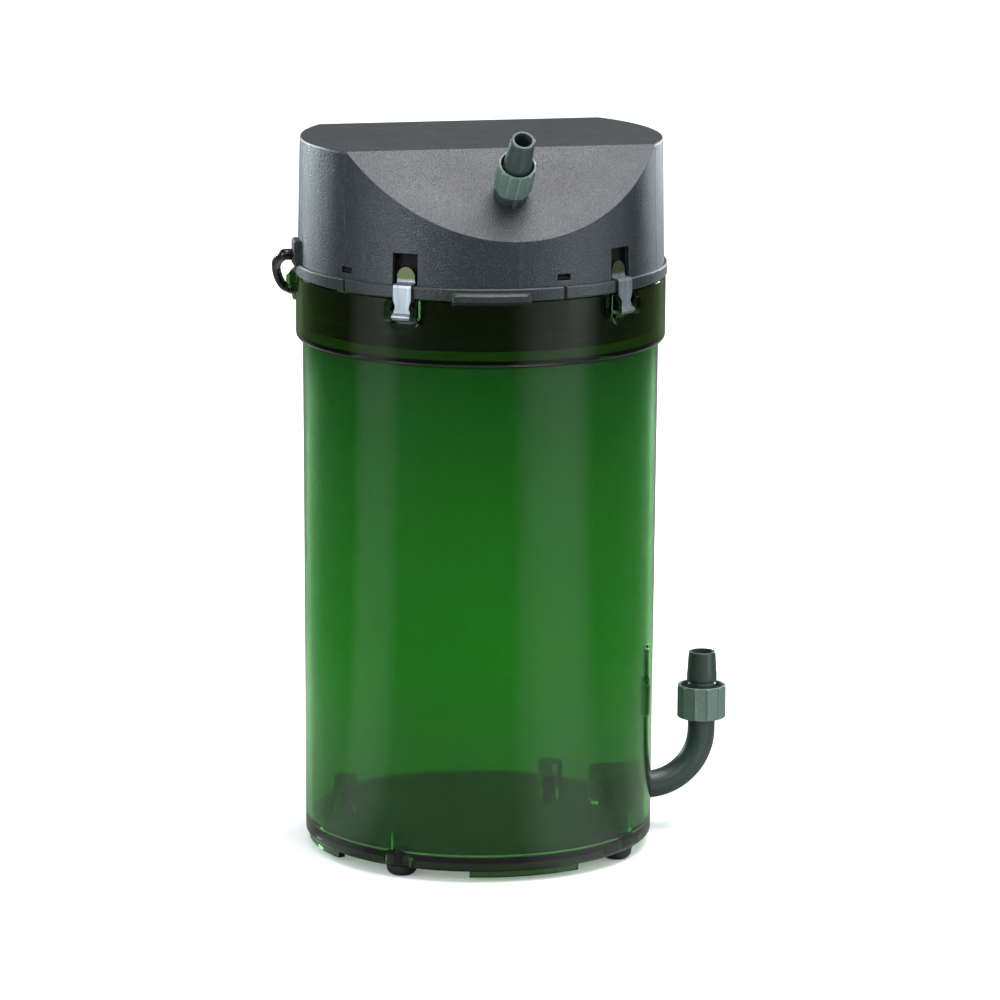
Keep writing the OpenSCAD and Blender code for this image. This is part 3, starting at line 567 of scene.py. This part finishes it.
def bumped(tree, shader, height, strength, depth, normal=None):
    soft = [("Normal", normal)] if normal else []
    bump = add(tree, "Bump", ("Height", height), ("Strength", strength), ("Distance", depth), *soft)
    tree.links.new(bump.outputs[0], shader.inputs["Normal"])


def rubbedRoughness(tree, wear, rough, scratched=0.0):
    # the first value where the surface is rubbed and the second elsewhere, plus a share of the hairlines
    roughness = ramp(tree, wear["Rub"], 0, 1, rough[1], rough[0])
    if scratched:
        roughness = calc(tree, "ADD", roughness, calc(tree, "MULTIPLY", wear["Hairlines"], scratched))
    return roughness


def innerSide(tree, hidden, inner):
    # hidden is (low, high): all below low and above high; inner is (radius, height): within and below them; the
    # mask places the near-black painted shade
    height = heightOf(tree)
    if hidden:
        return calc(tree, "MAXIMUM", calc(tree, "LESS_THAN", height, hidden[0]),
                    calc(tree, "GREATER_THAN", height, hidden[1]))
    return calc(tree, "MULTIPLY", calc(tree, "LESS_THAN", fromAxis(tree), inner[0]),
                calc(tree, "LESS_THAN", height, inner[1]))


# all moulded pieces alike: cloud mingles tone and light, the grain takes painted shade in its pits, the inner
# side is duller and darkened with painted shade, and painted glints, painted edge highlights and hairline
# scratches take light made brighter by gain and lift
moulding = {"cloud": (0.3, 0.7), "pitShade": (0.35, 0.7), "pitShadeShare": 0.45, "pitShadeTone": 0.45, "gain": 3.2,
            "lift": 0.05, "hairlines": 0.1, "wear": 28.0, "innerDull": 0.5}


def mouldedPlastic(name, tone, light, rough, grain=1400.0, paintedGlints=0.0, paintedGlintStrength=0.2, bump=0.25,
                   relief=0.0002, dust=0.0, edge=0.0006, paintedEdgeHighlight=0.35, hidden=None, inner=None,
                   innerShadeTone=None):
    material, tree, shader = newMaterial(name)
    grainOut = useGroup(tree, "grain", Scale=grain, Share=paintedGlints)
    edgeOut = useGroup(tree, "edge", Radius=edge)
    wear = useGroup(tree, "handling", Scale=moulding["wear"])
    dusty = useGroup(tree, "dust", Amount=dust)["Dust"]
    bright = tuple(min(1.0, moulding["gain"] * c + moulding["lift"]) for c in linear(*light)[:3]) + (1.0,)
    # painted shade for the grain's pits: the colour darkens towards a share of the tone where the grain's noise
    # is high
    pitShade = ramp(tree, grainOut["Height"], *moulding["pitShade"], 0, moulding["pitShadeShare"])
    colour = mixColour(tree, ramp(tree, grainOut["Cloud"], *moulding["cloud"]), linear(*tone), linear(*light))
    colour = mixColour(tree, pitShade, colour, linear(*tone, share=moulding["pitShadeTone"]))
    # painted glints on the chosen grain cells, painted highlights on the edges, and lighter hairline scratches
    # that are real wear
    for mask, strength in ((grainOut["PaintedGlints"], paintedGlintStrength), (edgeOut["Edge"], paintedEdgeHighlight),
                           (wear["Hairlines"], moulding["hairlines"])):
        colour = mixColour(tree, calc(tree, "MULTIPLY", mask, strength), colour, bright)
    colour = mixColour(tree, dusty, colour, linear(*film["tone"]))
    roughness = rubbedRoughness(tree, wear, rough)
    roughness = calc(tree, "ADD", roughness, calc(tree, "MULTIPLY", dusty, film["dulls"]))
    # painted shade: the hidden or inner side is darkened to a near-black tone, and made duller
    if innerShadeTone:
        inside = innerSide(tree, hidden, inner)
        colour = mixColour(tree, inside, colour, linear(*innerShadeTone))
        roughness = calc(tree, "ADD", roughness, calc(tree, "MULTIPLY", inside, moulding["innerDull"]))
    tree.links.new(colour, shader.inputs["Base Color"])
    tree.links.new(calc(tree, "MINIMUM", roughness, 1.0), shader.inputs["Roughness"])
    bumped(tree, shader, grainOut["Height"], bump, relief, edgeOut["Normal"])
    return material


# tone and light are the two mingled colours, rough the roughness where rubbed and elsewhere, grain the count in
# a metre, the glint share is the share of the grain's cells that take a painted glint, the edges take a painted
# highlight, the inner side a near-black painted shade, and relief and edge are sizes in metres
plastics = {
    "cover": {"name": "coverPlastic", "tone": (36, 43, 46), "light": (45, 53, 57), "rough": (0.27, 0.36),
              "grain": 1250.0, "paintedGlints": 0.35, "paintedGlintStrength": 0.4, "bump": 1.0, "relief": 0.00033,
              "dust": 0.03, "paintedEdgeHighlight": 0.6, "inner": (0.0975, 0.35), "innerShadeTone": (9, 8, 8)},
    "base": {"name": "basePlastic", "tone": (36, 44, 43), "light": (45, 53, 51), "rough": (0.3, 0.4),
             "grain": 900.0, "paintedGlints": 0.25, "paintedGlintStrength": 0.15, "bump": 0.8, "relief": 0.0004, "dust": 0.06,
             "paintedEdgeHighlight": 0.6, "hidden": (0.3243, 0.3312), "innerShadeTone": (13, 12, 12)},
    "nozzle": {"name": "nozzlePlastic", "tone": (50, 65, 60), "light": (60, 76, 71), "rough": (0.28, 0.4),
               "paintedGlints": 0.04, "paintedGlintStrength": 0.15, "dust": 0.08},
    "nut": {"name": "nutPlastic", "tone": (94, 115, 106), "light": (109, 130, 120), "rough": (0.3, 0.42),
            "paintedGlints": 0.06, "dust": 0.08, "paintedEdgeHighlight": 0.5},
    "rubber": {"name": "footRubber", "tone": (22, 24, 23), "light": (32, 34, 32), "rough": (0.5, 0.7),
               "bump": 0.4, "dust": 0.1, "paintedEdgeHighlight": 0.15},
    "lead": {"name": "leadRubber", "tone": (12, 12, 13), "light": (19, 19, 21), "rough": (0.16, 0.28),
             "grain": 700.0, "bump": 0.08, "dust": 0.02, "edge": 0.0002, "paintedEdgeHighlight": 0.05},
    "white": {"name": "whitePlastic", "tone": (206, 209, 204), "light": (222, 224, 219), "rough": (0.3, 0.42),
              "dust": 0.05, "paintedEdgeHighlight": 0.0},
    "ceramic": {"name": "shaftCeramic", "tone": (232, 229, 219), "light": (240, 238, 229),
                "rough": (0.12, 0.22), "bump": 0.05, "paintedEdgeHighlight": 0.0},
    "ferrite": {"name": "rotorFerrite", "tone": (40, 40, 43), "light": (56, 56, 60), "rough": (0.35, 0.55),
                "grain": 2200.0, "paintedGlints": 0.12, "paintedGlintStrength": 0.3},
}
finishes = {key: mouldedPlastic(**values) for key, values in plastics.items()}

# rolled sheet and drawn wire: along is the lines' count in a metre each way, and above tab the clips turn a
# darker yellow-green, a painted reflection of the green canister
steels = {
    "clip": {"name": "clipSteel", "tone": (166, 173, 177), "along": (900, 900, 40), "rough": (0.34, 0.46),
             "tab": (0.333, 0.335), "tabReflectionTone": (92, 98, 68)},
    "pin": {"name": "pinSteel", "tone": (190, 192, 190), "along": (60, 60, 1200), "rough": (0.16, 0.3)},
}
drawing = {"detail": 3.0, "lines": (0.35, 0.65), "lineTone": 0.72, "bump": 0.15, "relief": 0.0001,
           "edge": 0.0003, "wear": 60.0, "hairlines": 0.12}


def steel(name, tone, along, rough, tab=None, tabReflectionTone=None):
    # fine lines along one axis, from the tone down to a share of it
    material, tree, shader = newMaterial(name, Metallic=1.0)
    lines = noise(tree, stretched(tree, along), 1.0, drawing["detail"])
    wear = useGroup(tree, "handling", Scale=drawing["wear"])
    edgeOut = useGroup(tree, "edge", Radius=drawing["edge"])
    colour = mixColour(tree, ramp(tree, lines, *drawing["lines"]), linear(*tone, share=drawing["lineTone"]),
                       linear(*tone))
    if tab:
        # painted reflection: the clip's tab above this height takes a darker yellow-green
        colour = mixColour(tree, ramp(tree, heightOf(tree), *tab), colour, linear(*tabReflectionTone))
    tree.links.new(colour, shader.inputs["Base Color"])
    tree.links.new(rubbedRoughness(tree, wear, rough, drawing["hairlines"]), shader.inputs["Roughness"])
    bumped(tree, shader, lines, drawing["bump"], drawing["relief"], edgeOut["Normal"])
    return material


for key, values in steels.items():
    finishes[key] = steel(**values)

# packed wires and stacked sheets: count is how many in a metre of height
windings = {
    "copper": {"name": "copperWinding", "tone": (188, 104, 62), "count": 900.0, "metal": 0.9,
               "rough": (0.28, 0.4)},
    "core": {"name": "coreSheets", "tone": (132, 135, 138), "count": 800.0, "metal": 0.85,
             "rough": (0.4, 0.52)},
}
crown = {"gapShadeTone": 0.35, "bump": 0.6, "relief": 0.0004, "wear": 50.0}


def wound(name, tone, count, metal, rough):
    # a rounded crown on each and a dark line of painted shade between
    material, tree, shader = newMaterial(name, Metallic=metal)
    height = useGroup(tree, "strands", Count=count)["Crown"]
    wear = useGroup(tree, "handling", Scale=crown["wear"])
    colour = mixColour(tree, height, linear(*tone, share=crown["gapShadeTone"]), linear(*tone))
    tree.links.new(colour, shader.inputs["Base Color"])
    tree.links.new(rubbedRoughness(tree, wear, rough), shader.inputs["Roughness"])
    bumped(tree, shader, height, crown["bump"], crown["relief"])
    return material


for key, values in windings.items():
    finishes[key] = wound(**values)

# see-through green plastic: tones are (height, colour) pairs from the feet up, for the floor and rim, the wall,
# and the double wall of the collar, with painted light and shade in them: the bars and feet lighter, the floor
# and rim darker with painted shade from under the canister, the wall darker towards the collar and the collar
# darkest; top is above all of them, and the lugs stand outside lugRadius and take a darker green of painted
# shade
clear = {
    "shadedTones": [(0.0055, (64, 116, 56)), (0.0065, (50, 74, 40)), (0.0138, (46, 66, 36)), (0.0142, (71, 143, 60)),
              (0.083, (71, 143, 60)), (0.141, (70, 135, 64)), (0.239, (63, 121, 61)), (0.28, (54, 108, 54)),
              (0.2864, (52, 104, 52)), (0.287, (52, 77, 20))],
    "top": 0.34, "lugShadeTone": (54, 98, 48), "lugRadius": 0.1030, "rough": (0.03, 0.0), "wear": 22.0,
    "hairlines": 0.06, "cloud": (58, 112, 56), "flow": (16, 16, 5), "flowDetail": 0.5, "waves": (0.4, 0.75),
    "waveShare": 0.2, "bump": 0.2, "relief": 0.001, "shadow": (110, 165, 104),
}


def toneByHeight(tree, shadedTones, top):
    # straight steps between the pairs' colours; the stops are all placed before they are coloured
    byHeight = add(tree, "ValToRGB", (0, calc(tree, "DIVIDE", heightOf(tree), top)))
    stops = byHeight.color_ramp.elements
    while len(stops) < len(shadedTones):
        stops.new(0.5)
    for stop, (level, _) in zip(stops, shadedTones):
        stop.position = level / top
    for stop, (_, tone) in zip(stops, shadedTones):
        stop.color = linear(*tone)
    return byHeight.outputs["Color"]


def clearPlastic(name, clear):
    # faint waves run down the wall, and light for the shadows passes straight through
    material, tree, shader = newMaterial(name, IOR=1.49, Transmission_Weight=1.0)
    waves = noise(tree, stretched(tree, clear["flow"]), 1.0, clear["flowDetail"])
    wear = useGroup(tree, "handling", Scale=clear["wear"])
    # painted light and shade: the colour steps by height, and the wall's faint waves mingle into it
    colour = mixColour(tree, ramp(tree, waves, *clear["waves"], 0.0, clear["waveShare"]),
                       toneByHeight(tree, clear["shadedTones"], clear["top"]), linear(*clear["cloud"]))
    # painted shade: the lugs outside lugRadius take a darker green
    isLug = calc(tree, "GREATER_THAN", fromAxis(tree), clear["lugRadius"])
    tree.links.new(mixColour(tree, isLug, colour, linear(*clear["lugShadeTone"])), shader.inputs["Base Color"])
    tree.links.new(rubbedRoughness(tree, wear, clear["rough"], clear["hairlines"]), shader.inputs["Roughness"])
    bumped(tree, shader, waves, clear["bump"], clear["relief"])
    through = add(tree, "BsdfTransparent", ("Color", linear(*clear["shadow"])))
    isShadow = add(tree, "LightPath").outputs["Is Shadow Ray"]
    mix = add(tree, "MixShader", (0, isShadow), (1, shader.outputs[0]), (2, through.outputs[0]))
    tree.links.new(mix.outputs[0], tree.nodes["Material Output"].inputs["Surface"])
    return material


finishes["clear"] = clearPlastic("greenClear", clear)
print("finishes ready")

worn = {
    "clear": ["canister"],
    "rubber": ["rubber_feet", "sealing_ring", "inlet_rings", "cover_bush", "top_bush"],
    "clip": ["clip_front_left", "clip_front_right", "clip_right", "clip_rear"],
    "pin": ["clip_pins", "plug_pins"],
    "base": ["head_base", "pump_chamber", "pump_cover", "outlet_duct"],
    "cover": ["head_cover", "cord_gland"],
    "ceramic": ["rotor_shaft"],
    "ferrite": ["rotor_magnet"],
    "white": ["impeller"],
    "core": ["stator_core"],
    "copper": ["stator_coils"],
    "nozzle": ["outlet_nozzle", "inlet_elbow"],
    "nut": ["outlet_nut", "inlet_nut"],
    "lead": ["mains_lead", "lead_coil", "plug_body"],
}


def dress(piece, finish):
    piece.data.materials.clear()
    piece.data.materials.append(finishes[finish])


for finish, names in worn.items():
    for name in names:
        dress(nodes[name], finish)
for piece in (mainsLead, bendRelief, coilTie, plugShell):
    dress(piece, "lead")
print("finishes given to", sum(len(names) for names in worn.values()), "nodes")
